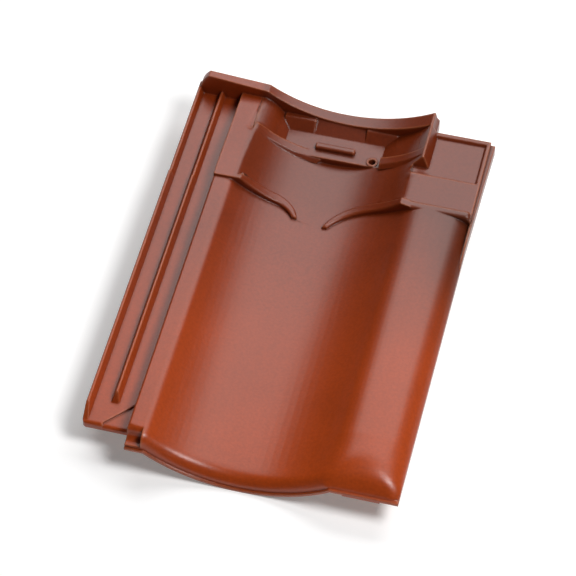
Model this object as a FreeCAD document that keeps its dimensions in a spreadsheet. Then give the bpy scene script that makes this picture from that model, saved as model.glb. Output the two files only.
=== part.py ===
import FreeCAD, Part
import os
import types

import Sketcher

# Interlocking clay pantile, one fired piece.
# Tile coordinates: x from the side lock's outer edge towards the roll, y from the tail edge up to the
# head, z up from the lowest point of the tail edge. The finished tile is turned onto its resting plane.

SIZES = {
    # Overall
    "tile_length": 379.0,
    "tile_width": 261.2,
    # Wave section: strip, trough and roll
    "wall": 11.6,
    "strip_left": 39.2,
    "strip_right": 54.0,
    "strip_top": 41.3,
    "strip_soft": 2.0,
    "crease_radius": 11.0,
    "edge_level": 26.0,
    "roll_run": 56.6,
    "flank_inset": 4.6,
    "roll_top": 45.0,
    "shoulder_inset": 19.0,
    "shoulder_drop": 2.4,
    "cheek_level": 27.0,
    # Lip beside the panel, and the waist of the outer edge
    "lip_width": 4.2,
    "lip_start_inset": 179.0,
    "lip_turn_inset": 117.0,
    "lip_level": 37.5,
    "waist_inset": 2.6,
    "waist_y_inset": 129.0,
    # Tail nose and the thin lip under it
    "nose_radius": 9.5,
    "tail_lip": 1.8,
    "tail_lip_thickness": 2.6,
    "roll_nose_margin": 0.2,
    "roll_nose_run": 27.0,
    "roll_nose_soft": 9.0,
    "strip_ledge": 5.0,
    "strip_ramp": 11.5,
    "strip_ledge_level": 31.0,
    "strip_crest": 2.2,
    "pad_inset": 47.2,
    "pad_width": 30.0,
    "pad_drop": 1.6,
    # Hollow under the roll and the rib that hangs in it
    "hollow_inset": 47.2,
    "hollow_width": 33.0,
    "roll_wall": 9.0,
    "tail_closure": 16.0,
    "cover_rib_inset": 30.2,
    "cover_rib_width": 5.0,
    "cover_rib_drop": 5.0,
    # Side lock
    "lock_tail": 16.6,
    "lock_floor": 28.0,
    "lock_thickness": 9.0,
    "lock_seam": 56.0,
    "lock_nose": 3.0,
    "lock_front": 6.4,
    "lock_taper": 12.0,
    "lock_corner": 3.5,
    "rim_foot": 4.6,
    "rim_crown": 2.6,
    "rim_height": 8.0,
    "rim_slope": 14.0,
    "rib_left": 17.6,
    "rib_foot": 6.6,
    "rib_crown": 2.2,
    "rib_height": 7.5,
    "rib_tail": 40.0,
    "rib_slope": 7.0,
    "head_lowering": 2.0,
    "wedge_left": 16.8,
    "wedge_drop": 1.8,
    "wedge_head": 44.5,
    "wedge_tail": 20.5,
    # Head zone
    "zone_inset": 104.0,
    "head_inset": 4.5,
    "head_strip_top": 43.3,
    "fall_inset": 83.0,
    "fall_level": 38.0,
    "fall_reach": 33.0,
    "brow_rise": 3.0,
    "brow_width": 8.5,
    "brow_tip": 4.5,
    "brow_soft": 1.8,
    "left_brow_bend": -37.3,
    "left_brow_taper": 12.0,
    "left_brow_tip_x": -21.3,
    "left_brow_drop": 8.5,
    "right_brow_bend": 42.7,
    "right_brow_inset": 97.6,
    "right_brow_tip_x": 10.1,
    "right_brow_drop": 17.9,
    # Head rim and the wall at its right end
    "rim_band": 6.0,
    "rim_skew": 7.6,
    "rim_low": 26.1,
    "rim_inset": 8.4,
    "rim_end_level": 30.0,
    "rim_end_side": 3.0,
    "rim_end_rise": 10.0,
    "rim_end_run": 9.4,
    "rim_end_radius": 25.0,
    "rim_left_top": 50.6,
    "rim_break": 46.6,
    "rim_right_top": 49.5,
    "rim_foot_run": 11.0,
    "rim_foot_rise": 7.0,
    "wall_tail_inset": 52.8,
    "wall_lean": 3.0,
    "wall_crown_width": 1.4,
    "wall_inset": 49.2,
    "wall_step": 41.0,
    "wall_step_run": 1.4,
    "wall_step_inset": 1.7,
    # Tray behind the dam, measured from the trough's axis
    "tray_level": 18.0,
    "tray_inset": 45.4,
    "tray_left": -45.3,
    "tray_right": 38.7,
    "tray_left_slope": 7.6,
    "tray_right_slope": 10.0,
    "ledge_level": 25.6,
    "shoulder_top": 40.0,
    "shoulder_run": 18.5,
    "tray_shoulder_radius": 40.0,
    "dam_rise": 4.5,
    "dam_inset": 49.0,
    "dam_width": 10.5,
    "dam_end": -15.3,
    "dam_return": -4.3,
    "dam_bevel": 3.0,
    "right_dam_start": 38.7,
    "bar_left": -18.9,
    "bar_length": 34.5,
    "bar_inset": 37.6,
    "bar_width": 5.8,
    "bar_rise": 4.0,
    "bar_soft": 1.6,
    "block_level": 26.0,
    "block_depth": 3.4,
    "block_left": -51.3,
    "block_length": 28.0,
    "block_right": 20.7,
    "block_soft": 1.2,
    # Nail hole
    "hole_x": 31.6,
    "hole_inset": 40.4,
    "hole_radius": 3.0,
    "hole_collar": 4.8,
    "collar_rise": 0.8,
    # Panel at the head of the roll and the bead across its tail end
    "panel_level": 41.5,
    "panel_start_inset": 95.0,
    "panel_head_inset": 14.0,
    "panel_inset": 3.7,
    "bead_width": 6.5,
    "bead_corner": 5.0,
    "bead_soft": 2.4,
    "recess_inset": 61.5,
    "recess_border": 5.0,
    "recess_side": 8.2,
    "recess_depth": 2.4,
    "recess_run_out": 8.0,
    "recess_slope": 1.6,
    # Hanging nibs
    "nib_spread": 52.0,
    "nib_width": 22.0,
    "nib_inset": 37.0,
    "nib_length": 14.0,
    "nib_drop": 10.0,
    "nib_soft": 1.5,
}


class Size:
    """A length that carries its value and the sheet formula that gives it."""

    def __init__(self, value, text):
        self.value = float(value)
        self.text = text

    def joined(self, sign, other, value):
        return Size(value, f"({self.text} {sign} {other.text})")

    def __add__(self, other):
        other = as_size(other)
        return self.joined("+", other, self.value + other.value)

    def __sub__(self, other):
        other = as_size(other)
        return self.joined("-", other, self.value - other.value)

    def __mul__(self, other):
        other = as_size(other)
        return self.joined("*", other, self.value * other.value)

    def __truediv__(self, other):
        other = as_size(other)
        return self.joined("/", other, self.value / other.value)

    def __neg__(self):
        return Size(-self.value, f"(-{self.text})")

    def root(self):
        return Size(self.value ** 0.5, f"sqrt({self.text})")


def as_size(number):
    return number if isinstance(number, Size) else Size(number, repr(float(number)))


doc = FreeCAD.newDocument("pantile")
sheet = doc.addObject("Spreadsheet::Sheet", "Sizes")
for row, (name, value) in enumerate(SIZES.items(), start=1):
    sheet.set(f"A{row}", name)
    sheet.set(f"B{row}", str(value))
    sheet.setAlias(f"B{row}", name)
doc.recompute()
s = types.SimpleNamespace(**{name: Size(value, f"Sizes.{name}") for name, value in SIZES.items()})

ALONG = FreeCAD.Vector(0, 1, 0)
ACROSS = FreeCAD.Vector(1, 0, 0)
UP = FreeCAD.Vector(0, 0, 1)
PLANES = {
    "section": FreeCAD.Rotation(ACROSS, 90),
    "plan": FreeCAD.Rotation(),
    "side": FreeCAD.Rotation(FreeCAD.Vector(1, 1, 1), 120),
}
DIRECTIONS = {"section": ALONG, "plan": UP, "side": ACROSS}
BASE_AXIS = {"section": "y", "plan": "z", "side": "x"}
GRAZE = 1e-6


def arc_geometry(start, end, radius, turn):
    """A short arc from start to end; turn says which hand its centre lies on."""
    chord = end - start
    hand = FreeCAD.Vector(-chord.y, chord.x, 0).normalize()
    hand = hand if turn == "left" else -hand
    centre = (start + end) * 0.5 + hand * (radius ** 2 - (chord.Length / 2) ** 2) ** 0.5
    first, last = (start, end) if turn == "left" else (end, start)
    angles = [ACROSS.getAngle(p - centre) * (1 if p.y >= centre.y else -1) for p in (first, last)]
    circle = Part.Circle(centre, UP, radius)
    return Part.ArcOfCircle(circle, angles[0], angles[1])


def outline(name, plane, corners, start=0.0):
    """A closed sketch. A corner is (u, v), or (u, v, radius, turn) where an arc leaves it."""
    sketch = doc.addObject("Sketcher::SketchObject", f"{name}_outline")
    sketch.Placement = FreeCAD.Placement(FreeCAD.Vector(), PLANES[plane])
    sketch.setExpression(f"Placement.Base.{BASE_AXIS[plane]}", as_size(start).text)
    corners = [tuple(as_size(c) if i < 3 else c for i, c in enumerate(corner)) for corner in corners]
    points = [FreeCAD.Vector(corner[0].value, corner[1].value, 0) for corner in corners]
    count = len(corners)
    starts, ends = [], []
    for i, corner in enumerate(corners):
        here, there = points[i], points[(i + 1) % count]
        if len(corner) == 2:
            sketch.addGeometry(Part.LineSegment(here, there))
        else:
            sketch.addGeometry(arc_geometry(here, there, corner[2].value, corner[3]))
        turned = len(corner) > 2 and corner[3] == "right"
        starts.append(2 if turned else 1)
        ends.append(1 if turned else 2)
    for i in range(count):
        nxt = (i + 1) % count
        sketch.addConstraint(Sketcher.Constraint("Coincident", i, ends[i], nxt, starts[nxt]))
    for i, corner in enumerate(corners):
        for kind, size in zip(("DistanceX", "DistanceY"), corner):
            number = sketch.addConstraint(Sketcher.Constraint(kind, i, starts[i], size.value))
            sketch.setExpression(f"Constraints[{number}]", size.text)
        if len(corner) > 2:
            number = sketch.addConstraint(Sketcher.Constraint("Radius", i, corner[2].value))
            sketch.setExpression(f"Constraints[{number}]", corner[2].text)
    return sketch


def extrude(name, plane, corners, length, start=0.0):
    solid = doc.addObject("Part::Extrusion", name)
    solid.Base = outline(name, plane, corners, start)
    solid.DirMode = "Custom"
    solid.Dir = DIRECTIONS[plane]
    solid.Solid = True
    solid.setExpression("LengthFwd", as_size(length).text)
    return solid


def common(name, first, second):
    solid = doc.addObject("Part::MultiCommon", name)
    solid.Shapes = [first, second]
    return solid


def fuse(name, solids):
    solid = doc.addObject("Part::MultiFuse", name)
    solid.Shapes = solids
    solid.Refine = True
    return solid


def cut(name, base, tool):
    solid = doc.addObject("Part::Cut", name)
    solid.Base = base
    solid.Tool = tool
    solid.Refine = True
    return solid


def dress(name, solid, kind, size, chosen):
    """Rounds or bevels the edges of a solid that chosen picks by the box around each and its middle."""
    body = doc.addObject("PartDesign::Body", name)
    body.BaseFeature = solid
    doc.recompute()
    feature = body.newObject(f"PartDesign::{kind}", f"{name}_edges")
    edges = []
    for number, edge in enumerate(solid.Shape.Edges, start=1):
        middle = edge.valueAt((edge.FirstParameter + edge.LastParameter) / 2)
        if chosen(edge.BoundBox, middle):
            edges.append(f"Edge{number}")
    feature.Base = (body.Group[0], edges)
    feature.setExpression("Radius" if kind == "Fillet" else "Size", size.text)
    return body


def soften(name, solid, radius, chosen):
    return dress(name, solid, "Fillet", radius, chosen)


def bevel(name, solid, size, chosen):
    return dress(name, solid, "Chamfer", size, chosen)


def reach(radius, centre, level):
    """Half width of an arc with this radius and centre height, at a level."""
    drop = centre - level
    return (radius * radius - drop * drop).root()


def arc_level(radius, centre, half):
    return centre - (radius * radius - half * half).root()


def bend(run, rise):
    """Radius of an arc that starts level and leaves the level line by rise over run."""
    return (run * run + rise * rise) / (rise * 2)


# Places along the tile that belong to the head keep their distance from the head edge
zone_start = s.tile_length - s.zone_inset
panel_start = s.tile_length - s.panel_start_inset
panel_head = s.tile_length - s.panel_head_inset
tray_front = s.tile_length - s.tray_inset
dam_front = s.tile_length - s.dam_inset
fall_start = s.tile_length - s.fall_inset
lip_start = s.tile_length - s.lip_start_inset
lip_turn = s.tile_length - s.lip_turn_inset
waist_y = s.tile_length - s.waist_y_inset
wall_tail = s.tile_length - s.wall_tail_inset
bar_y = s.tile_length - s.bar_inset
hole_y = s.tile_length - s.hole_inset
recess_start = s.tile_length - s.recess_inset
nib_face = s.tile_length - s.nib_inset
right_brow_y = s.tile_length - s.right_brow_inset
left_brow_tip_y = zone_start - s.left_brow_drop
right_brow_tip_y = right_brow_y - s.right_brow_drop

# Wave section: a trough hung between the strip and the flank of the roll, with the roll after it
trough_half = (s.tile_width - s.roll_run - s.strip_right) / 2
trough_axis = s.strip_right + trough_half
trough_radius = bend(trough_half, s.strip_top - s.wall)
trough_centre = s.wall + trough_radius
under_radius = trough_radius + s.wall
root_radius = trough_radius + s.wall / 2
foot_half = reach(under_radius, trough_centre, s.edge_level)
flank_run = trough_half - s.flank_inset
flank_end = trough_axis + flank_run
flank_rise = trough_radius - (trough_radius * trough_radius - flank_run * flank_run).root()
flank_level = s.wall + flank_rise
crest_x = flank_end + (s.roll_top - flank_level) * flank_run / flank_rise
crest_radius = (crest_x - flank_end) * trough_radius / flank_run
shoulder_x = s.tile_width - s.shoulder_inset
crown_run = shoulder_x - crest_x
crown_radius = bend(crown_run, s.shoulder_drop)
cheek_run = s.tile_width - shoulder_x
cheek_fall = s.roll_top - s.shoulder_drop - s.cheek_level
shoulder_radius = (cheek_run * cheek_run + cheek_fall * cheek_fall) * crown_radius / (
    (cheek_fall * (crown_radius - s.shoulder_drop) - cheek_run * crown_run) * 2)
crease_centre = trough_centre - s.strip_top + s.crease_radius
crease_reach = trough_radius + s.crease_radius
crease_run = (crease_reach * crease_reach - crease_centre * crease_centre).root()
crease_share = trough_radius / crease_reach
crease_level = trough_centre - crease_centre * crease_share

wave = extrude("wave", "section", [
    (s.strip_left, s.edge_level),
    (s.strip_left, s.strip_top),
    (trough_axis - crease_run, s.strip_top, s.crease_radius, "right"),
    (trough_axis - crease_run * crease_share, crease_level, trough_radius, "left"),
    (flank_end, flank_level, crest_radius, "right"),
    (crest_x, s.roll_top, crown_radius, "right"),
    (shoulder_x, s.roll_top - s.shoulder_drop, shoulder_radius, "right"),
    (s.tile_width, s.cheek_level),
    (s.tile_width, s.edge_level),
    (trough_axis + foot_half, s.edge_level, under_radius, "right"),
    (trough_axis - foot_half, s.edge_level),
], s.tile_length - s.tail_lip, s.tail_lip)
doc.recompute()

# The tail: a rounded nose that stands back on a thin lip, and a pad under the roll
nose = soften("nose", wave, s.nose_radius, lambda box, middle: (
    box.YMax < s.tail_lip.value + GRAZE
    and box.ZMin > s.wall.value - GRAZE
    and box.ZMax > s.edge_level.value + GRAZE
    and box.XLength > s.wall.value
))
lip_top = s.edge_level + s.tail_lip_thickness
lip_radius = under_radius - s.tail_lip_thickness
lip_half = reach(lip_radius, trough_centre, lip_top)
tail_lip = extrude("tail_lip", "section", [
    (s.strip_left, s.edge_level),
    (s.strip_left, lip_top),
    (trough_axis - lip_half, lip_top, lip_radius, "left"),
    (trough_axis + lip_half, lip_top),
    (s.tile_width, lip_top),
    (s.tile_width, s.edge_level),
    (trough_axis + foot_half, s.edge_level, under_radius, "right"),
    (trough_axis - foot_half, s.edge_level),
], s.tail_lip * 2)
pad_left = s.tile_width - s.pad_inset
pad = extrude("roll_pad", "section", [
    (pad_left, s.edge_level - s.pad_drop),
    (pad_left + s.pad_width, s.edge_level - s.pad_drop),
    (pad_left + s.pad_width, lip_top),
    (pad_left, lip_top),
], s.tail_closure)

# Lip along the outer edge: it rises out of the roll towards the head and runs beside the panel
side_lip = extrude("side_lip", "side", [
    (lip_start, s.edge_level),
    (panel_head, s.edge_level),
    (panel_head, s.lip_level),
    (lip_turn, s.lip_level),
    (lip_start, s.cheek_level),
], s.lip_width, s.tile_width - s.lip_width)

# Side lock: floor with a lower wedge at its tail, outer rim and middle rib
lock_under = s.lock_floor - s.lock_thickness
lock_root = s.lock_floor - s.lock_thickness / 2


def lock_plate(name, rise):
    """The lock's floor from its rounded tail to the head, raised by rise."""
    top = s.lock_floor + rise
    return extrude(name, "side", [
        (s.lock_tail, s.lock_floor - s.lock_front),
        (s.lock_tail + s.lock_taper, lock_under),
        (s.tile_length, lock_under),
        (s.tile_length, top),
        (s.lock_tail + s.lock_nose, top, s.lock_nose, "left"),
        (s.lock_tail, top - s.lock_nose),
    ], s.lock_seam)


lock_base = lock_plate("lock_base", -s.wedge_drop)
raised_plan = extrude("raised_floor_plan", "plan", [
    (0, s.lock_tail),
    (s.wedge_left, s.lock_tail),
    (s.wedge_left, s.wedge_tail),
    (s.strip_left, s.wedge_head),
    (s.lock_seam, s.wedge_head),
    (s.lock_seam, s.tile_length),
    (0, s.tile_length),
], s.roll_top)
lock_floor = common("lock_floor", lock_plate("raised_floor", as_size(0)), raised_plan)


def lock_ridge(name, left, foot, crown, height, start, end, upright):
    """A drafted ridge with a round crown on the lock floor; upright keeps its left face plumb."""
    lead = as_size(0) if upright else (foot - crown) / 2
    return extrude(name, "section", [
        (left, lock_root),
        (left + foot, lock_root),
        (left + foot, s.lock_floor),
        (left + lead + crown, s.lock_floor + height, crown * 0.6, "left"),
        (left + lead, s.lock_floor + height),
        (left, s.lock_floor),
    ], end - start, start)


def tail_slope(name, ridge, left, foot, height, start, run):
    """Slopes the tail end of a lock ridge."""
    peak = s.lock_floor + height * 1.25
    return cut(name, ridge, extrude(f"{name}_slope", "side", [
        (start - s.wall, s.lock_floor),
        (start, s.lock_floor),
        (start + run, peak),
        (start + run, peak + s.wall),
        (start - s.wall, peak + s.wall),
    ], foot, left))


rim_tail = s.lock_tail + s.lock_nose
ridges = [
    tail_slope("sloped_rim", lock_ridge("lock_rim", as_size(0), s.rim_foot, s.rim_crown, s.rim_height,
                                        rim_tail, zone_start, True),
               as_size(0), s.rim_foot, s.rim_height, rim_tail, s.rim_slope),
    tail_slope("sloped_rib", lock_ridge("lock_rib", s.rib_left, s.rib_foot, s.rib_crown, s.rib_height,
                                        s.rib_tail, zone_start, False),
               s.rib_left, s.rib_foot, s.rib_height, s.rib_tail, s.rib_slope),
    lock_ridge("head_lock_rim", as_size(0), s.rim_foot, s.rim_crown, s.rim_height - s.head_lowering,
               zone_start, s.tile_length, True),
    lock_ridge("head_lock_rib", s.rib_left, s.rib_foot, s.rib_crown, s.rib_height - s.head_lowering,
               zone_start, s.tile_length, False),
]
round_corner = extrude("lock_round_corner", "plan", [
    (-s.wall, s.lock_tail - s.wall),
    (s.lock_corner, s.lock_tail - s.wall),
    (s.lock_corner, s.lock_tail, s.lock_corner, "right"),
    (0, s.lock_tail + s.lock_corner),
    (-s.wall, s.lock_tail + s.lock_corner),
], s.roll_top * 2)
lock = cut("lock", fuse("lock_parts", [lock_base, lock_floor, *ridges]), round_corner)

# Head zone: a tighter trough whose tail edge steps down along the two eyebrows
root_level = arc_level(root_radius, trough_centre, flank_run)
head_half = trough_half - s.head_inset
head_radius = bend(head_half, s.head_strip_top - s.wall)
head_centre = s.wall + head_radius
wall_top = trough_axis + reach(head_radius, head_centre, s.rim_right_top)
wall_crown = wall_top + s.wall_crown_width
wall_foot = s.tile_width - s.wall_inset
bead_start = panel_start - s.bead_width
tail_most = right_brow_tip_y - s.brow_width


def wave_slice(name, radius, right_top, start, end):
    """A stretch of the head-zone wave, rooted inside the wall of the trough."""
    left = trough_axis - reach(radius, head_centre, s.head_strip_top)
    right = trough_axis + reach(radius, head_centre, right_top)
    return extrude(name, "section", [
        (s.strip_left, root_level),
        (s.strip_left, s.head_strip_top),
        (left, s.head_strip_top, radius, "left"),
        (right, right_top),
        (wall_foot, right_top),
        (wall_foot, root_level),
        (flank_end, root_level, root_radius, "right"),
        (trough_axis - flank_run, root_level),
    ], end - start, start)


left_bend_x = trough_axis + s.left_brow_bend
left_tip_x = trough_axis + s.left_brow_tip_x
right_bend_x = trough_axis + s.right_brow_bend
right_tip_x = trough_axis + s.right_brow_tip_x
left_bend = bend(left_tip_x - left_bend_x, s.left_brow_drop)
left_back = bend(left_tip_x + s.brow_tip - left_bend_x, s.brow_width + s.left_brow_drop)
right_bend = bend(right_bend_x - right_tip_x, s.right_brow_drop)
right_back = bend(right_bend_x - right_tip_x + s.brow_tip, s.brow_width + s.right_brow_drop)
right_fall = bend(wall_crown - right_bend_x, right_brow_y - bead_start)
right_back_fall = bend(wall_crown - right_bend_x, right_brow_y + s.brow_width - panel_start)
head_wave = common(
    "head_wave",
    wave_slice("head_section", head_radius, s.panel_level, tail_most, tray_front),
    extrude("head_plan", "plan", [
        (s.strip_left, zone_start),
        (left_bend_x, zone_start, left_bend, "right"),
        (left_tip_x, left_brow_tip_y),
        (right_tip_x, right_brow_tip_y, right_bend, "right"),
        (right_bend_x, right_brow_y, right_fall, "right"),
        (wall_crown, bead_start),
        (wall_foot, bead_start),
        (wall_foot, s.tile_length),
        (s.strip_left, s.tile_length),
    ], s.rim_left_top),
)
brow_radius = head_radius - s.brow_rise
brow_section = wave_slice("brow_section", brow_radius, s.roll_top, tail_most, tray_front)


def brow_level(x):
    return arc_level(brow_radius, head_centre, as_size(x) - trough_axis)


def softened_brow(name, corners):
    """One eyebrow: a stretch of a raised wave, with its upper edges rounded."""
    shape = common(f"{name}_shape", brow_section, extrude(f"{name}_plan", "plan", corners, s.rim_left_top))
    doc.recompute()
    return soften(name, shape, s.brow_soft, lambda box, middle: (
        box.XLength > s.brow_tip.value - GRAZE
        and abs(middle.x - trough_axis.value) < flank_run.value
        and middle.z > brow_level(middle.x).value - s.brow_soft.value / 10
    ))


left_brow = softened_brow("left_brow", [
    (s.strip_right, zone_start),
    (left_bend_x, zone_start, left_bend, "right"),
    (left_tip_x, left_brow_tip_y),
    (left_tip_x + s.brow_tip, left_brow_tip_y, left_back, "left"),
    (left_bend_x, zone_start + s.brow_width),
    (s.strip_right + s.left_brow_taper, zone_start + s.brow_width),
])
right_brow = softened_brow("right_brow", [
    (right_tip_x, right_brow_tip_y, right_bend, "right"),
    (right_bend_x, right_brow_y, right_fall, "right"),
    (wall_crown, bead_start),
    (wall_crown, panel_start, right_back_fall, "left"),
    (right_bend_x, right_brow_y + s.brow_width, right_back, "left"),
    (right_tip_x - s.brow_tip, right_brow_tip_y),
])

# Dams in front of the tray: each rises from the strip or the end wall and ends with a bevelled front
dam_back = dam_front + s.dam_width


def root_at(x):
    return arc_level(root_radius, trough_centre, x - trough_axis)


def dam_level(x):
    return arc_level(head_radius - s.dam_rise, head_centre, x - trough_axis)


def bevelled_dam(name, corners):
    blank = extrude(f"{name}_blank", "section", corners, s.dam_width, dam_front)
    doc.recompute()
    return bevel(name, blank, s.dam_bevel, lambda box, middle: (
        box.YMax < dam_front.value + GRAZE
        and box.XLength > s.dam_width.value
        and middle.z > arc_level(head_radius, head_centre, as_size(middle.x) - trough_axis).value
    ))


dam_left = trough_axis - head_half
dam_stop = trough_axis + s.dam_return
left_dam = common("left_dam", bevelled_dam("left_dam_ridge", [
    (dam_left, s.head_strip_top, head_radius, "left"),
    (dam_stop, dam_level(dam_stop)),
    (dam_stop, root_at(dam_stop), root_radius, "right"),
    (dam_left, root_at(dam_left)),
]), extrude("left_dam_plan", "plan", [
    (dam_left, dam_front),
    (trough_axis + s.dam_end, dam_front),
    (dam_stop, dam_back),
    (dam_left, dam_back),
], s.rim_left_top))
dam_start = trough_axis + s.right_dam_start
right_dam = bevelled_dam("right_dam", [
    (dam_start, dam_level(dam_start), head_radius, "left"),
    (wall_top, s.rim_right_top),
    (wall_crown, s.rim_right_top),
    (wall_foot, s.panel_level - s.recess_depth),
    (wall_foot, root_level),
    (flank_end, root_level, root_radius, "right"),
    (dam_start, root_at(dam_start)),
])

# Tray: a flat floor between sloping sides, with a rounded shoulder up to the strip and, on the right, the
# head trough's own arc up to the end wall
floor_left = trough_axis + s.tray_left
floor_right = trough_axis + s.tray_right
ledge_left = floor_left - s.tray_left_slope
ledge_right = floor_right + s.tray_right_slope
basin = [
    (ledge_left, s.ledge_level),
    (floor_left, s.tray_level),
    (floor_right, s.tray_level),
    (ledge_right, s.ledge_level),
]
shoulder_left = ledge_left - s.shoulder_run
tray = extrude("tray", "section", [
    (trough_axis - flank_run, root_level),
    (shoulder_left, root_level),
    (shoulder_left, s.shoulder_top, s.tray_shoulder_radius, "right"),
    *basin[:-1],
    (*basin[-1], head_radius, "left"),
    (wall_top, s.rim_right_top),
    (wall_top, root_level),
    (flank_end, root_level, root_radius, "right"),
], s.tile_length - tray_front, tray_front)
basin_room = extrude("basin_room", "section", [
    *basin,
    (ledge_right, s.rim_left_top),
    (ledge_left, s.rim_left_top),
], s.tile_length, tray_front)
bar_shape = extrude("bar_shape", "plan", [
    (trough_axis + s.bar_left, bar_y),
    (trough_axis + s.bar_left + s.bar_length, bar_y),
    (trough_axis + s.bar_left + s.bar_length, bar_y + s.bar_width),
    (trough_axis + s.bar_left, bar_y + s.bar_width),
], s.bar_rise + s.wall / 2, s.tray_level - s.wall / 2)
doc.recompute()
bar = soften("bar", bar_shape, s.bar_soft, lambda box, middle: box.ZMax > s.tray_level.value + GRAZE)

# Head rim on its sloping foot, and the wall that closes its right end
rim_half = trough_half - s.rim_inset
rim_radius = bend(rim_half, s.rim_break - s.rim_low)
rim_right_radius = bend(wall_top - trough_axis, s.rim_right_top - s.rim_low)
rim_front = s.tile_length - s.rim_band
head_rim = common(
    "head_rim",
    extrude("rim_section", "section", [
        (0, lock_under),
        (0, s.rim_end_level),
        (s.rim_end_side, s.rim_left_top - s.rim_end_rise, s.rim_end_radius, "right"),
        (s.rim_end_run, s.rim_left_top),
        (trough_axis - rim_half, s.rim_break, rim_radius, "left"),
        (trough_axis, s.rim_low, rim_right_radius, "left"),
        (wall_top, s.rim_right_top),
        (wall_crown, s.rim_right_top),
        (wall_crown, root_level),
        (flank_end, root_level, root_radius, "right"),
        (trough_axis - flank_run, root_level),
        (s.lock_seam, lock_under),
    ], s.rim_band + s.rim_skew * 2, rim_front - s.rim_skew * 2),
    extrude("rim_plan", "plan", [
        (0, rim_front),
        (wall_crown, rim_front - s.rim_skew),
        (wall_crown, s.tile_length),
        (0, s.tile_length),
    ], s.rim_left_top * 2),
)
foot_y = s.tile_length - s.rim_band - s.rim_skew / 2
rim_foot = extrude("rim_sloping_foot", "side", [
    (foot_y - s.rim_foot_run, s.tray_level - s.wall / 2),
    (s.tile_length, s.tray_level - s.wall / 2),
    (s.tile_length, s.tray_level + s.rim_foot_rise),
    (foot_y, s.tray_level + s.rim_foot_rise),
    (foot_y - s.rim_foot_run, s.tray_level),
], s.tray_right - s.tray_left, floor_left)
blocks = []
for name, left in (("left_block", s.block_left), ("right_block", s.block_right)):
    block_shape = extrude(f"{name}_shape", "side", [
        (foot_y - s.rim_foot_run, s.tray_level - s.wall / 2),
        (foot_y + s.rim_band / 2, s.tray_level - s.wall / 2),
        (foot_y + s.rim_band / 2, s.block_level),
        (foot_y - s.block_depth, s.block_level),
        (foot_y - s.rim_foot_run, s.tray_level),
    ], s.block_length, trough_axis + left)
    doc.recompute()
    blocks.append(soften(name, block_shape, s.block_soft, lambda box, middle: (
        middle.z > s.tray_level.value + GRAZE
        and middle.y < foot_y.value + s.rim_band.value / 2 - GRAZE
    )))
panel_floor = s.panel_level - s.recess_depth
wall_inner = trough_axis + reach(head_radius, head_centre, s.panel_level)
end_wall = common(
    "end_wall",
    extrude("end_wall_section", "section", [
        (wall_inner, root_level),
        (wall_inner, s.panel_level, head_radius, "left"),
        (wall_top, s.rim_right_top, s.wall_crown_width * 0.7, "right"),
        (wall_crown, s.rim_right_top),
        (wall_foot, panel_floor),
        (wall_foot, root_level),
    ], s.tile_length, as_size(0)),
    extrude("end_wall_side", "side", [
        (wall_tail, root_level),
        (panel_head, root_level),
        (panel_head, s.rim_right_top),
        (wall_tail + s.wall_lean, s.rim_right_top),
        (wall_tail, panel_floor),
    ], s.tile_width),
)
rim_end = extrude("rim_end", "section", [
    (wall_inner, root_level),
    (wall_inner, s.panel_level, head_radius, "left"),
    (wall_top, s.rim_right_top),
    (wall_crown, s.rim_right_top),
    (wall_crown + s.wall_step_run, s.wall_step + s.wall_step_run * 2),
    (wall_foot - s.wall_step_inset, s.wall_step),
    (wall_foot - s.wall_step_inset, root_level),
], s.tile_length - panel_head, panel_head)

# Panel beside the wall, and the bead where the roll steps down to it
panel_edge = s.tile_width - s.panel_inset
panel = extrude("panel", "section", [
    (shoulder_x, s.edge_level),
    (panel_edge, s.edge_level),
    (panel_edge, s.panel_level),
    (shoulder_x, s.panel_level),
], panel_head - bead_start, bead_start)
bead_shape = extrude("bead_shape", "section", [
    (wall_crown, s.edge_level),
    (panel_edge, s.edge_level),
    (panel_edge, s.roll_top - s.bead_corner, s.bead_corner, "left"),
    (panel_edge - s.bead_corner, s.roll_top),
    (wall_crown, s.roll_top),
], s.bead_width, bead_start)
doc.recompute()
bead = soften("bead", bead_shape, s.bead_soft, lambda box, middle: (
    box.YMax < bead_start.value + GRAZE
    and box.ZMin > s.roll_top.value - GRAZE
))
recess_left = wall_crown - s.recess_run_out
recess = common(
    "panel_recess",
    extrude("recess_section", "section", [
        (recess_left, panel_floor),
        (s.tile_width - s.recess_side, panel_floor),
        (s.tile_width - s.recess_side + s.recess_slope, s.panel_level),
        (s.tile_width - s.recess_side + s.recess_slope, s.roll_top * 2),
        (recess_left, s.roll_top * 2),
    ], s.tile_length),
    extrude("recess_side_view", "side", [
        (recess_start, panel_floor),
        (panel_head - s.recess_border, panel_floor),
        (panel_head - s.recess_border + s.recess_slope, s.panel_level),
        (panel_head - s.recess_border + s.recess_slope, s.roll_top * 2),
        (recess_start, s.roll_top * 2),
    ], s.tile_width),
)


def round_post(name, radius, bottom, height):
    post = doc.addObject("Part::Cylinder", name)
    post.setExpression("Radius", radius.text)
    post.setExpression("Height", height.text)
    post.setExpression("Placement.Base.x", (trough_axis + s.hole_x).text)
    post.setExpression("Placement.Base.y", hole_y.text)
    post.setExpression("Placement.Base.z", bottom.text)
    return post


collar = round_post("collar", s.hole_collar, s.tray_level - s.wall / 2, s.wall / 2 + s.collar_rise)
nail_hole = round_post("nail_hole", s.hole_radius, -s.nib_drop, s.roll_top)

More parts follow.
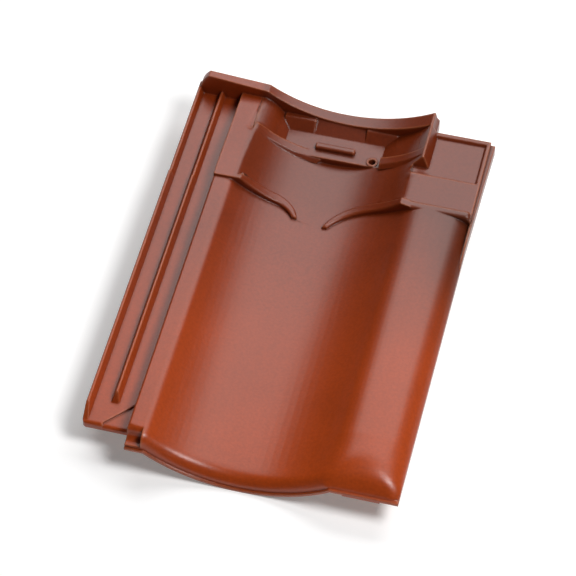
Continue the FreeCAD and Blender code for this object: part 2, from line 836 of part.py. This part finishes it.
# Nibs that hang on the batten, their feet in the plane that the tile rests on
nib_end = nib_face + s.nib_length
nib_root = s.tray_level - s.wall / 2
nibs = []
for name, middle in (("left_nib", -s.nib_spread), ("right_nib", s.nib_spread)):
    nib_shape = extrude(f"{name}_shape", "side", [
        (nib_face, -s.nib_drop),
        (nib_end, -(s.nib_drop * nib_end / nib_face)),
        (nib_end, nib_root),
        (nib_face, nib_root),
    ], s.nib_width, trough_axis + middle - s.nib_width / 2)
    doc.recompute()
    nibs.append(soften(name, nib_shape, s.nib_soft, lambda box, middle: box.ZLength > s.nib_drop.value))

# What is taken away: the lowered head of the roll, its set-back corner, the strip's stepped tail and falling
# head, the waist of the outer edge and the roll's larger nose
beyond = s.tile_width + s.wall
lowering = extrude("roll_lowering", "plan", [
    (wall_crown, panel_start),
    (beyond, panel_start),
    (beyond, s.tile_length + s.wall),
    (wall_crown, s.tile_length + s.wall),
], s.roll_top, s.panel_level)
corner = extrude("head_corner", "plan", [
    (wall_crown, panel_head),
    (beyond, panel_head),
    (beyond, s.tile_length + s.wall),
    (wall_crown, s.tile_length + s.wall),
], s.roll_top * 2)
ramp_half = s.strip_ramp / 2
ramp_rise = (s.strip_top - s.strip_ledge_level) / 2
ramp_radius = bend(ramp_half, ramp_rise)
strip_tail = extrude("strip_tail", "side", [
    (-s.wall, s.strip_ledge_level),
    (s.strip_ledge, s.strip_ledge_level, ramp_radius, "left"),
    (s.strip_ledge + ramp_half, s.strip_ledge_level + ramp_rise, ramp_radius, "right"),
    (s.strip_ledge + s.strip_ramp, s.strip_top),
    (s.strip_ledge + s.strip_ramp, s.strip_top + s.wall),
    (-s.wall, s.strip_top + s.wall),
], s.strip_right - s.strip_crest - s.strip_left + s.wall, s.strip_left - s.wall)
strip_edge = extrude("strip_edge", "section", [
    (s.strip_left - s.wall, s.strip_top - s.strip_soft),
    (s.strip_left, s.strip_top - s.strip_soft, s.strip_soft, "right"),
    (s.strip_left + s.strip_soft, s.strip_top),
    (s.strip_left + s.strip_soft, s.strip_top + s.wall),
    (s.strip_left - s.wall, s.strip_top + s.wall),
], zone_start)
strip_fall = extrude("strip_fall", "side", [
    (fall_start, s.head_strip_top),
    (s.tile_length, s.fall_level),
    (s.tile_length, s.rim_left_top * 2),
    (fall_start, s.rim_left_top * 2),
], s.fall_reach, s.strip_left)
roll_nose_top = s.roll_top + s.roll_nose_margin
roll_nose = extrude("roll_nose", "side", [
    (-s.wall, lip_top),
    (s.tail_lip, lip_top, bend(s.roll_nose_run, roll_nose_top - lip_top), "right"),
    (s.tail_lip + s.roll_nose_run, roll_nose_top),
    (s.tail_lip + s.roll_nose_run, s.roll_top * 2),
    (-s.wall, s.roll_top * 2),
], beyond - trough_axis, trough_axis)
waist = extrude("edge_waist", "plan", [
    (s.tile_width - s.waist_inset, -s.wall),
    (beyond, -s.wall),
    (beyond, panel_head),
    (s.tile_width, panel_head),
    (s.tile_width - s.waist_inset, waist_y),
], s.roll_top * 2)

trimmed = cut("trimmed_wave", nose, fuse("trimmings", [
    lowering, corner, strip_tail, strip_edge, strip_fall, roll_nose, basin_room,
]))
doc.recompute()
shell = soften("shell", trimmed, s.roll_nose_soft, lambda box, middle: (
    box.XMin > shoulder_x.value
    and box.YLength > s.tail_lip.value
    and box.YMax < (s.tail_lip + s.nose_radius).value + GRAZE
    and box.ZMax > lip_top.value + s.tail_lip_thickness.value
))
plate = cut("plate", fuse("shell_and_panel", [shell, side_lip, tail_lip, pad, panel, bead]),
            fuse("plate_trimmings", [waist, recess]))
head_trimmings = fuse("head_trimmings", [strip_fall, recess])
head = cut("head", fuse("head_ribs", [head_wave, left_dam, tray]), head_trimmings)
fired = fuse("fired", [plate, lock, head, right_dam, left_brow, right_brow, head_rim, rim_foot, *blocks,
                       end_wall, rim_end, bar, collar, *nibs])

# Hollow under the roll and the nail hole
hollow_top = s.roll_top - s.roll_wall
hollow_left = s.tile_width - s.hollow_inset
hollow_right = hollow_left + s.hollow_width
cover_rib_left = s.tile_width - s.cover_rib_inset - s.cover_rib_width / 2
hollow = extrude("roll_hollow", "section", [
    (hollow_left, s.edge_level - s.wall),
    (hollow_right, s.edge_level - s.wall),
    (hollow_right, hollow_top),
    (cover_rib_left + s.cover_rib_width, hollow_top),
    (cover_rib_left + s.cover_rib_width, hollow_top - s.cover_rib_drop),
    (cover_rib_left, hollow_top - s.cover_rib_drop),
    (cover_rib_left, hollow_top),
    (hollow_left, hollow_top),
], s.tile_length, s.tail_closure)
pantile = cut("pantile", fired, fuse("openings", [hollow, nail_hole]))
pantile.Label = "pantile"

# The tile lies on its tail edge and both nibs, which lifts its head a little
pantile.Placement = FreeCAD.Placement(FreeCAD.Vector(), FreeCAD.Rotation(ACROSS, 0))
pantile.setExpression("Placement.Rotation.Angle", f"atan({(s.nib_drop / nib_face).text})")
pantile.setExpression("Placement.Base.x", (-s.tile_width / 2).text)
pantile.setExpression("Placement.Base.y", (-s.tile_length / 2).text)
doc.recompute()

failed = [item.Label for item in doc.Objects if {"Invalid", "Error"} & set(item.State)]
if failed:
    raise RuntimeError(f"failed: {failed}")
shape = pantile.Shape
if shape.isNull() or not shape.isValid() or len(shape.Solids) != 1:
    raise RuntimeError(f"not one valid solid: {shape.isValid()} {len(shape.Solids)}")
print(shape.BoundBox, shape.Volume, len(shape.Faces))
os.makedirs("parts", exist_ok=True)
shape.exportStep("parts/pantile.step")
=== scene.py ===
# %% [markdown]
# The roof pantile is one piece of fired clay: a deep trough that carries the rain, a roll that covers the
# neighbour's side lock, and a head with a rim, dams and a nail hole. Its whole shape comes from the CAD frame,
# in metres, lying on the floor at z = 0. Blender adds what the mould, the slip and the fire leave on it: soft
# turns, colour, sheen and grain. The CAD box is kept in the scene, hidden.

# %% Load the frame
import math
import bmesh
import bpy
from mathutils import Euler, Matrix, Vector
from mathutils.bvhtree import BVHTree


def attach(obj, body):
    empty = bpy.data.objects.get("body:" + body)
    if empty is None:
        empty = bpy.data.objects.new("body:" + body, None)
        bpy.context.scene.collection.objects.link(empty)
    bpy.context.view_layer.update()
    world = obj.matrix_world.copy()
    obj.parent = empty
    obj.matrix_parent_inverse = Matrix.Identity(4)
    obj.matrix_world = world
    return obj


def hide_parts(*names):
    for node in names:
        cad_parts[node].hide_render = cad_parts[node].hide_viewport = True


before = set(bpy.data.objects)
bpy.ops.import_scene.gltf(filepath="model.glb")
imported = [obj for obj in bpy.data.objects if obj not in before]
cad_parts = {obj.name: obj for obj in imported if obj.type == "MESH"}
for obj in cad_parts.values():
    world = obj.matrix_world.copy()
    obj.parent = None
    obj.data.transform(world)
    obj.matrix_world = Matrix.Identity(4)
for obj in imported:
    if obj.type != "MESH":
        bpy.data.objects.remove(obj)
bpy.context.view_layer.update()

scene = bpy.context.scene

# %% [markdown]
# The camera comes first, because every later choice is judged through it. A long lens keeps the tile's long
# edges nearly parallel, as in a catalogue picture. It could be placed by eye, but the tile's straight edges fix
# it: bearing, height, distance and a slight roll were solved from where those edges run. The camera is set back
# from one aim point along its own line of sight, so that three plain angles and a distance describe it.

# %% Camera at the picture's angle
aim_point = Vector((-0.00380, -0.01065, 0.03879))
bearing, height_angle, roll = (math.radians(d) for d in (13.409, 50.913, 0.638))
camera_distance = 2.27545
film_width, focal_pixels, picture_pixels = 36.0, 2800, 576

lens = bpy.data.cameras.new("catalogue_lens")
lens.sensor_width = film_width
lens.lens = film_width * focal_pixels / picture_pixels
lens.clip_end = 50.0
camera = bpy.data.objects.new("catalogue_camera", lens)
scene.collection.objects.link(camera)
scene.camera = camera

look = Euler((math.pi / 2 - height_angle, 0.0, bearing)).to_matrix().to_4x4() @ Matrix.Rotation(roll, 4, "Z")
camera.matrix_world = Matrix.Translation(aim_point + look.to_3x3() @ Vector((0, 0, camera_distance))) @ look
print("camera at", [round(c, 3) for c in camera.location], "lens", lens.lens, "mm")

# %% [markdown]
# The CAD node is a set of loose triangles, each with corners of its own. Shaded like that, every facet of the
# trough would show. A copy is merged into one skin: corners on the same spot become one, slivers without any
# area are taken out, and only edges that turn by more than a set angle stay crisp. The node itself is left as
# it is, and the copy stands for it.

# %% Merge the fired body into one skin
crisp_angle = math.radians(28)
same_spot, hair = 2e-6, 1e-6

def mark_crisp(skin):
    for edge in skin.edges:
        edge.smooth = edge.is_manifold and edge.calc_face_angle(0.0) < crisp_angle

def merged_skin(node, name):
    skin = bmesh.new()
    skin.from_mesh(node.data)
    bmesh.ops.remove_doubles(skin, verts=skin.verts, dist=same_spot)
    bmesh.ops.dissolve_degenerate(skin, edges=skin.edges, dist=hair)
    for face in skin.faces:
        face.smooth = True
    mark_crisp(skin)
    open_edges = sum(not e.is_manifold for e in skin.edges)
    mesh = bpy.data.meshes.new(name)
    skin.to_mesh(mesh)
    skin.free()
    piece = bpy.data.objects.new(name, mesh)
    scene.collection.objects.link(piece)
    print(name, len(mesh.vertices), "corners,", len(mesh.polygons), "faces,", open_edges, "open edges")
    return piece

tile = merged_skin(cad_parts["pantile"], "fired_pantile")
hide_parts("pantile")
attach(tile, "root")

# %% [markdown]
# A pressed tile has no true creases: clay flows round every turn of the mould, widest at the roll's nose and at
# the trough's lip. In CAD those turns carry small fillets. Here they are eased wider, on the skin alone.
# Smoothing the mesh itself would follow its uneven triangles, and show as lumps. So the top of the skin is
# first cut into an even grid wherever it is to be eased, by a row of planes across and a row along.

# %% Cut a patch of the skin into a grid
least_upward = 0.12

def patch_test(across, along):
    def in_patch(face):
        if face.normal.z < least_upward:
            return False
        return all(max(v.co[axis] for v in face.verts) > start - hair and
                   min(v.co[axis] for v in face.verts) < end + hair
                   for axis, (start, end) in enumerate((across, along)))
    return in_patch

def cut_grid(skin, in_patch, across, along, step):
    for axis, (start, end) in enumerate((across, along)):
        for i in range(int((end - start) / step) + 2):
            spot, facing = Vector((0, 0, 0)), Vector((0, 0, 0))
            spot[axis], facing[axis] = min(start + i * step, end), 1.0
            faces = [f for f in skin.faces if in_patch(f)]
            edges = dict.fromkeys(e for f in faces for e in f.edges)
            corners = dict.fromkeys(v for f in faces for v in f.verts)
            bmesh.ops.bisect_plane(skin, geom=[*faces, *edges, *corners], dist=hair,
                                   plane_co=spot, plane_no=facing)

print("patches take faces that look up by more than", least_upward)

# %% [markdown]
# Each corner of the grid then takes the mean height of the surface around it, read by rays from above. The
# heights are read in opposite pairs: on a flat slope the two cancel out, so only the turns move. Where one of a
# pair falls off the tile or down a deep step, both are left out.

# %% Read the mean height around a spot
look_height, least_hit_upward = 0.010, 0.1
rings = [(r, math.exp(-2 * r * r)) for r in (0.33, 0.67, 1.0)]
half_turn = [a * math.pi / 8 for a in range(8)]

def mean_height(before, x, y, z, reach):
    def height(east, north):
        start = Vector((x + east, y + north, z + look_height))
        spot, normal = before.ray_cast(start, Vector((0, 0, -1)), 2 * look_height)[:2]
        return spot.z if spot is not None and normal.z > least_hit_upward else None

    total, weight = z, 1.0
    for ring, share in rings:
        for angle in half_turn:
            east, north = reach * ring * math.cos(angle), reach * ring * math.sin(angle)
            one, other = height(east, north), height(-east, -north)
            if one is not None and other is not None:
                total += share * (one + other)
                weight += 2 * share
    return total / weight

print(2 * len(rings) * len(half_turn), "heights around each corner")

# %% [markdown]
# With both at hand, each turn is a patch with a grid step, a reach for the mean, and a margin in which the
# easing fades out towards the patch's border. The roll's nose gets a wide pass, then a narrow one to iron it.
# Corners that touch a wall or lie on the border stay where they are, so the edges of the tile do too.

# %% Ease the turns of the mould
turns = [
    ("roll nose", (0.052, 0.1295), (-0.1893, -0.142), 0.0025, 0.015, 0.015),
    ("roll nose, ironed", (0.052, 0.1295), (-0.1893, -0.142), 0.0025, 0.006, 0.004),
    ("trough lip", (-0.066, 0.056), (-0.1890, -0.168), 0.0020, 0.005, 0.005),
    ("strip edge at the head", (-0.084, -0.056), (0.0862, 0.164), 0.0016, 0.0035, 0.0035),
    ("roll's head, lower part", (0.046, 0.094), (0.0975, 0.1235), 0.0020, 0.009, 0.003),
    ("roll's head, upper part", (0.056, 0.084), (0.1262, 0.1345), 0.0016, 0.006, 0.002),
]

def ease(piece, turn, across, along, step, reach, fade):
    skin = bmesh.new()
    skin.from_mesh(piece.data)
    before = BVHTree.FromBMesh(skin)
    in_patch = patch_test(across, along)
    cut_grid(skin, in_patch, across, along, step)
    levels = {}
    for corner in skin.verts:
        x, y, z = corner.co
        margin = min(x - across[0], across[1] - x, y - along[0], along[1] - y)
        if margin > 10 * hair and all(in_patch(f) for f in corner.link_faces):
            levels[corner] = z + (mean_height(before, x, y, z, reach) - z) * min(1.0, margin / fade)
    most = max(abs(level - corner.co.z) for corner, level in levels.items())
    for corner, level in levels.items():
        corner.co.z = level
    skin.normal_update()
    mark_crisp(skin)
    skin.to_mesh(piece.data)
    skin.free()
    print(turn + ":", len(levels), "corners eased by", round(most * 1000, 2), "mm at most")

for turn in turns:
    ease(tile, *turn)

# %% [markdown]
# Large flat faces that run smoothly into narrow curved ones pull the shading out of true, as dull wedges across
# the flat. Weighting each corner's normal by the area of its faces lets the large face win, as on a moulded
# surface. It is a modifier, so the mesh stays as it is.

# %% Let large faces lead the shading
even_shading = tile.modifiers.new("even_shading", "WEIGHTED_NORMAL")
even_shading.mode = "FACE_AREA"
even_shading.keep_sharp = True
even_shading.weight = 60
print("shading led by", even_shading.mode)

# %% [markdown]
# The finish is an engobe: a thin clay slip, sprayed on before firing, that burns to a satin orange red. The
# kiln's flame flashes the head darker and browner. A painted picture could hold that, but a node graph stays
# sharp at every distance and needs no image. First come the coordinates that everything else reads.

# %% Start the engobe
engobe = bpy.data.materials.new("engobe")
engobe.use_nodes = True
tile.data.materials.append(engobe)
graph = engobe.node_tree
graph.nodes.clear()

def add(kind, **settings):
    made = graph.nodes.new("ShaderNode" + kind)
    for key, value in settings.items():
        setattr(made, key, value)
    return made

def wire(source, target):
    graph.links.new(source, target)

place = add("TexCoord")
axes = add("SeparateXYZ")
wire(place.outputs["Object"], axes.inputs[0])
surface = add("BsdfPrincipled")
finish = add("OutputMaterial")
wire(surface.outputs["BSDF"], finish.inputs["Surface"])
print("engobe reads", place.outputs["Object"].name, "coordinates")

# %% [markdown]
# Flashing follows the draught of the kiln, so it is no straight line. The colour shifts with the distance from
# the tail, and a slow noise pushes that border up and down. The side lock and its strip were sheltered by the
# next tile, so there the shift stops early.

# %% Measure how far the flame reached
tail_end, head_end, most_wander = -0.19, 0.19, 0.03

drift = add("TexNoise")
drift.inputs["Scale"].default_value = 7.0
drift.inputs["Detail"].default_value = 2.0
wire(place.outputs["Object"], drift.inputs["Vector"])
wander = add("MapRange")
wander.inputs["To Min"].default_value = -most_wander
wander.inputs["To Max"].default_value = most_wander
wire(drift.outputs["Fac"], wander.inputs["Value"])
pushed = add("Math", operation="ADD")
wire(axes.outputs["Y"], pushed.inputs[0])
wire(wander.outputs["Result"], pushed.inputs[1])
along = add("MapRange")
along.inputs["From Min"].default_value = tail_end
along.inputs["From Max"].default_value = head_end
wire(pushed.outputs[0], along.inputs["Value"])

def rising(value, start, end, low=0.0, high=1.0):
    step = add("MapRange", interpolation_type="SMOOTHSTEP")
    for key, number in (("From Min", start), ("From Max", end), ("To Min", low), ("To Max", high)):
        step.inputs[key].default_value = number
    wire(value, step.inputs["Value"])
    return step.outputs["Result"]

strip_edge, trough_edge, sheltered_most = -0.077, -0.066, 0.56
sheltered = add("Math", operation="MINIMUM")
wire(along.outputs["Result"], sheltered.inputs[0])
wire(rising(axes.outputs["X"], strip_edge, trough_edge, sheltered_most, 1.0), sheltered.inputs[1])
print("flame reaches", sheltered_most, "of its run on the strip")

# %% [markdown]
# A colour ramp turns that distance into the run of colours, from the red tail to the brown head. A mix of two
# colours would darken at one even rate. The flash darkens fastest just past the middle, so the shades in between
# are given too.

# %% Flash the head darker
flash = add("ValToRGB")
flash.color_ramp.interpolation = "EASE"
flash_run = [(0.06, (0.333, 0.043, 0.003)), (0.30, (0.296, 0.038, 0.003)), (0.47, (0.250, 0.032, 0.003)),
             (0.63, (0.188, 0.024, 0.003)), (0.80, (0.138, 0.018, 0.002))]
while len(flash.color_ramp.elements) < len(flash_run):
    flash.color_ramp.elements.new(0.5)
for stop, (spot, shade) in zip(flash.color_ramp.elements, flash_run):
    stop.position = spot
    stop.color = (*shade, 1.0)
wire(sheltered.outputs[0], flash.inputs["Fac"])
print("flashing runs through", len(flash_run), "shades")

# %% [markdown]
# Where two tiles touch in the kiln the smoke settles, here on the upper end of the roll's outer side, as far as
# the panel. Ramps across and along mark that corner, the same slow noise frays its border, and inside it the
# colour goes darker and a little greyer, as soot does to red.

# %% Smoke on the upper roll
smoke_start, smoke_full = -0.050, 0.050
smoke_fades, smoke_gone = 0.085, 0.100
roll_inner, roll_outer = 0.060, 0.125

frayed = add("Math", operation="ADD")
wire(axes.outputs["X"], frayed.inputs[0])
wire(wander.outputs["Result"], frayed.inputs[1])
below_panel = add("Math", operation="MULTIPLY")
wire(rising(pushed.outputs[0], smoke_start, smoke_full), below_panel.inputs[0])
wire(rising(axes.outputs["Y"], smoke_gone, smoke_fades), below_panel.inputs[1])
smoked = add("Math", operation="MULTIPLY")
wire(rising(frayed.outputs[0], roll_inner, roll_outer), smoked.inputs[0])
wire(below_panel.outputs[0], smoked.inputs[1])
sooty = add("Mix", data_type="RGBA", blend_type="MULTIPLY")
sooty.inputs["B"].default_value = (0.50, 0.58, 0.70, 1.0)
wire(smoked.outputs[0], sooty.inputs["Factor"])
wire(flash.outputs["Color"], sooty.inputs["A"])
print("smoke darkens the upper roll to", [round(c, 2) for c in sooty.inputs["B"].default_value][:3])

# %% [markdown]
# Slip never dries to one flat shade. Two noises break it up: soft clouds as wide as a hand where the spray was
# heavier, and a fine speckle of sand grains. Both only lighten or darken the flashed colour a little.

# %% Clouds and speckle in the slip
def mottled(colour, scale, detail, low, high):
    grain = add("TexNoise")
    grain.inputs["Scale"].default_value = scale
    grain.inputs["Detail"].default_value = detail
    wire(place.outputs["Object"], grain.inputs["Vector"])
    amount = add("MapRange")
    for key, number in (("From Min", 0.3), ("From Max", 0.7), ("To Min", low), ("To Max", high)):
        amount.inputs[key].default_value = number
    wire(grain.outputs["Fac"], amount.inputs["Value"])
    shade = add("VectorMath", operation="SCALE")
    wire(colour, shade.inputs[0])
    wire(amount.outputs["Result"], shade.inputs["Scale"])
    return shade.outputs["Vector"]

clouded = mottled(sooty.outputs["Result"], 14.0, 3.0, 0.90, 1.10)
speckled = mottled(clouded, 420.0, 2.0, 0.90, 1.10)
print("slip broken up by clouds and speckle")

# %% [markdown]
# Wet slip draws back from sharp edges, so the ribs, brows and rims carry a thin pale line where the clay shows
# through. That pale line is also a painted highlight, brighter than thin slip alone, standing in for the gloss
# on the edges. Their feet carry a darker line, a painted shade where less light reaches into the corners.
# Ambient occlusion finds both: looking into the clay it is closed in near an edge, and looking out of it near a
# foot.

# %% Thin slip and painted highlight on edges, painted shade at the feet
edge_reach, foot_reach = 0.0025, 0.0045
palest_edge, darkest_foot = 0.36, 0.60

def closed_in(reach, inward):
    probe = add("AmbientOcclusion", samples=6, inside=inward, only_local=True)
    probe.inputs["Distance"].default_value = reach
    return probe.outputs["AO"]

# The pale edge colour is partly clay through thin slip and partly a painted highlight.
thin_and_highlit = add("Mix", data_type="RGBA")
thin_and_highlit.inputs["B"].default_value = (0.52, 0.165, 0.065, 1.0)
wire(rising(closed_in(edge_reach, True), 0.93, 0.50, 0.0, palest_edge), thin_and_highlit.inputs["Factor"])
wire(speckled, thin_and_highlit.inputs["A"])
# The darker feet are painted shade: the colour is scaled down where corners are closed in.
painted_shade = add("VectorMath", operation="SCALE")
wire(thin_and_highlit.outputs["Result"], painted_shade.inputs[0])
wire(rising(closed_in(foot_reach, False), 0.45, 0.95, darkest_foot, 1.0), painted_shade.inputs["Scale"])
print("slip thin within", edge_reach * 1000, "mm of edges, pooled within", foot_reach * 1000, "mm of feet")

# %% [markdown]
# The slip is sprayed from above, so it thins out on faces that look down, and the underside stays bare biscuit
# clay: paler, pinker and dry. The mask reads how far the surface faces the floor, which gives the same soft
# edge all round the tile without painting it.

# %% Bare clay underneath
slip_ends, all_bare = -0.05, -0.45
satin, dry = 0.35, 0.85

facing = add("SeparateXYZ")
wire(place.outputs["Normal"], facing.inputs[0])
bare = rising(facing.outputs["Z"], slip_ends, all_bare)

biscuit = add("RGB")
biscuit.outputs[0].default_value = (0.44, 0.17, 0.085, 1.0)
dry_clay = mottled(mottled(biscuit.outputs[0], 11.0, 4.0, 0.86, 1.12), 300.0, 3.0, 0.92, 1.08)
coat = add("Mix", data_type="RGBA")
wire(bare, coat.inputs["Factor"])
wire(painted_shade.outputs["Vector"], coat.inputs["A"])
wire(dry_clay, coat.inputs["B"])
wire(coat.outputs["Result"], surface.inputs["Base Color"])

polish = add("MapRange")
polish.inputs["To Min"].default_value = satin
polish.inputs["To Max"].default_value = dry
wire(bare, polish.inputs["Value"])
wire(polish.outputs["Result"], surface.inputs["Roughness"])
surface.inputs["IOR"].default_value = 1.5
print("roughness", satin, "on the slip,", dry, "underneath")

# %% [markdown]
# Up close the slip has a faint orange-peel grain, and every pressed edge is rounded by the mould and the spray.
# A Bevel node bends the normals across the edges that are too fine to model, and a Bump node adds the grain on
# top of that.

# %% Soft edges and fine grain
soft_edge = add("Bevel", samples=6)
soft_edge.inputs["Radius"].default_value = 0.0018
peel = add("TexNoise")
peel.inputs["Scale"].default_value = 650.0
peel.inputs["Detail"].default_value = 3.0
wire(place.outputs["Object"], peel.inputs["Vector"])
grain_bump = add("Bump")
grain_bump.inputs["Strength"].default_value = 0.2
grain_bump.inputs["Distance"].default_value = 0.0003
wire(peel.outputs["Fac"], grain_bump.inputs["Height"])
wire(soft_edge.outputs["Normal"], grain_bump.inputs["Normal"])
wire(grain_bump.outputs["Normal"], surface.inputs["Normal"])
print("edges softened by", round(soft_edge.inputs["Radius"].default_value * 1000, 2), "mm")

# %% [markdown]
# The floor is a plain pale sheet, far larger than the tile, which takes the tile's soft shadow as paper does.
# A grid of one face is all it needs.

# %% Floor
sheet = bmesh.new()
bmesh.ops.create_grid(sheet, x_segments=1, y_segments=1, size=6.0)
floor_mesh = bpy.data.meshes.new("studio_floor")
sheet.to_mesh(floor_mesh)
sheet.free()
studio_floor = bpy.data.objects.new("studio_floor", floor_mesh)
scene.collection.objects.link(studio_floor)
print("floor", [round(d, 2) for d in studio_floor.dimensions], "m")

# %% [markdown]
# Its paper is matt. A little is added to its own light where the eye meets it, straight on or in a reflection,
# so that it comes out as white as the page behind a catalogue picture. More lamp would whiten it too, but would
# also fall on the tile.

# %% Paper
page_lift = 0.2

paper = bpy.data.materials.new("studio_paper")
paper.use_nodes = True
floor_mesh.materials.append(paper)
graph = paper.node_tree
graph.nodes.clear()
matt = add("BsdfDiffuse")
matt.inputs["Color"].default_value = (0.88, 0.88, 0.88, 1.0)
rays = add("LightPath")
mirrored = add("Math", operation="MAXIMUM")
wire(rays.outputs["Is Glossy Ray"], mirrored.inputs[0])
wire(rays.outputs["Is Transmission Ray"], mirrored.inputs[1])
met = add("Math", operation="MAXIMUM")
wire(rays.outputs["Is Camera Ray"], met.inputs[0])
wire(mirrored.outputs[0], met.inputs[1])
lift = add("Math", operation="MULTIPLY")
lift.inputs[1].default_value = page_lift
wire(met.outputs[0], lift.inputs[0])
page = add("Emission")
wire(lift.outputs[0], page.inputs["Strength"])
both = add("AddShader")
wire(matt.outputs[0], both.inputs[0])
wire(page.outputs[0], both.inputs[1])
paper_out = add("OutputMaterial")
wire(both.outputs[0], paper_out.inputs["Surface"])
print("paper lifted by", page_lift)

# %% [markdown]
# Two soft boxes light it. A wide one hangs behind the head: seen from the tail it mirrors in every face that
# looks up, which gives the pale satin sheen along the trough and the roll. A small one hangs high on the roll's
# side, a little towards the tail. It draws the bright spots on the roll's nose and the trough's lip, and leaves
# the flanks that face the lock deep and saturated. Area lamps are the direct way to such boxes, and their power
# is set so that a level face renders about as its colour is written.

# %% Soft boxes
def soft_box(name, place, target, width, depth, power):
    lamp = bpy.data.lights.new(name, "AREA")
    lamp.shape = "RECTANGLE"
    lamp.size, lamp.size_y = width, depth
    lamp.energy = power
    box = bpy.data.objects.new(name, lamp)
    box.location = place
    box.rotation_euler = (Vector(target) - Vector(place)).to_track_quat("-Z", "Y").to_euler()
    scene.collection.objects.link(box)
    print(name, power, "W,", width, "by", depth, "m")

under_tile = (0.0, 0.0, 0.0)
soft_box("head_box", (0.03, 0.94, 1.17), under_tile, 1.70, 0.9, 17.5)
soft_box("roll_side_box", (0.73, -0.28, 1.28), under_tile, 0.50, 0.50, 17.0)

# %% [markdown]
# The world stands for the dim room around the boxes: an even, weak fill that keeps the deepest shade readable.
# The view stays plain, so that colours come out as they are mixed.

# %% Room
room = bpy.data.worlds.new("studio_room")
room.use_nodes = True
scene.world = room
fill = next(n for n in room.node_tree.nodes if n.type == "BACKGROUND")
fill.inputs["Color"].default_value = (1.0, 1.0, 1.0, 1.0)
fill.inputs["Strength"].default_value = 0.03
scene.view_settings.view_transform = "Standard"
print("room fill", round(fill.inputs["Strength"].default_value, 3))
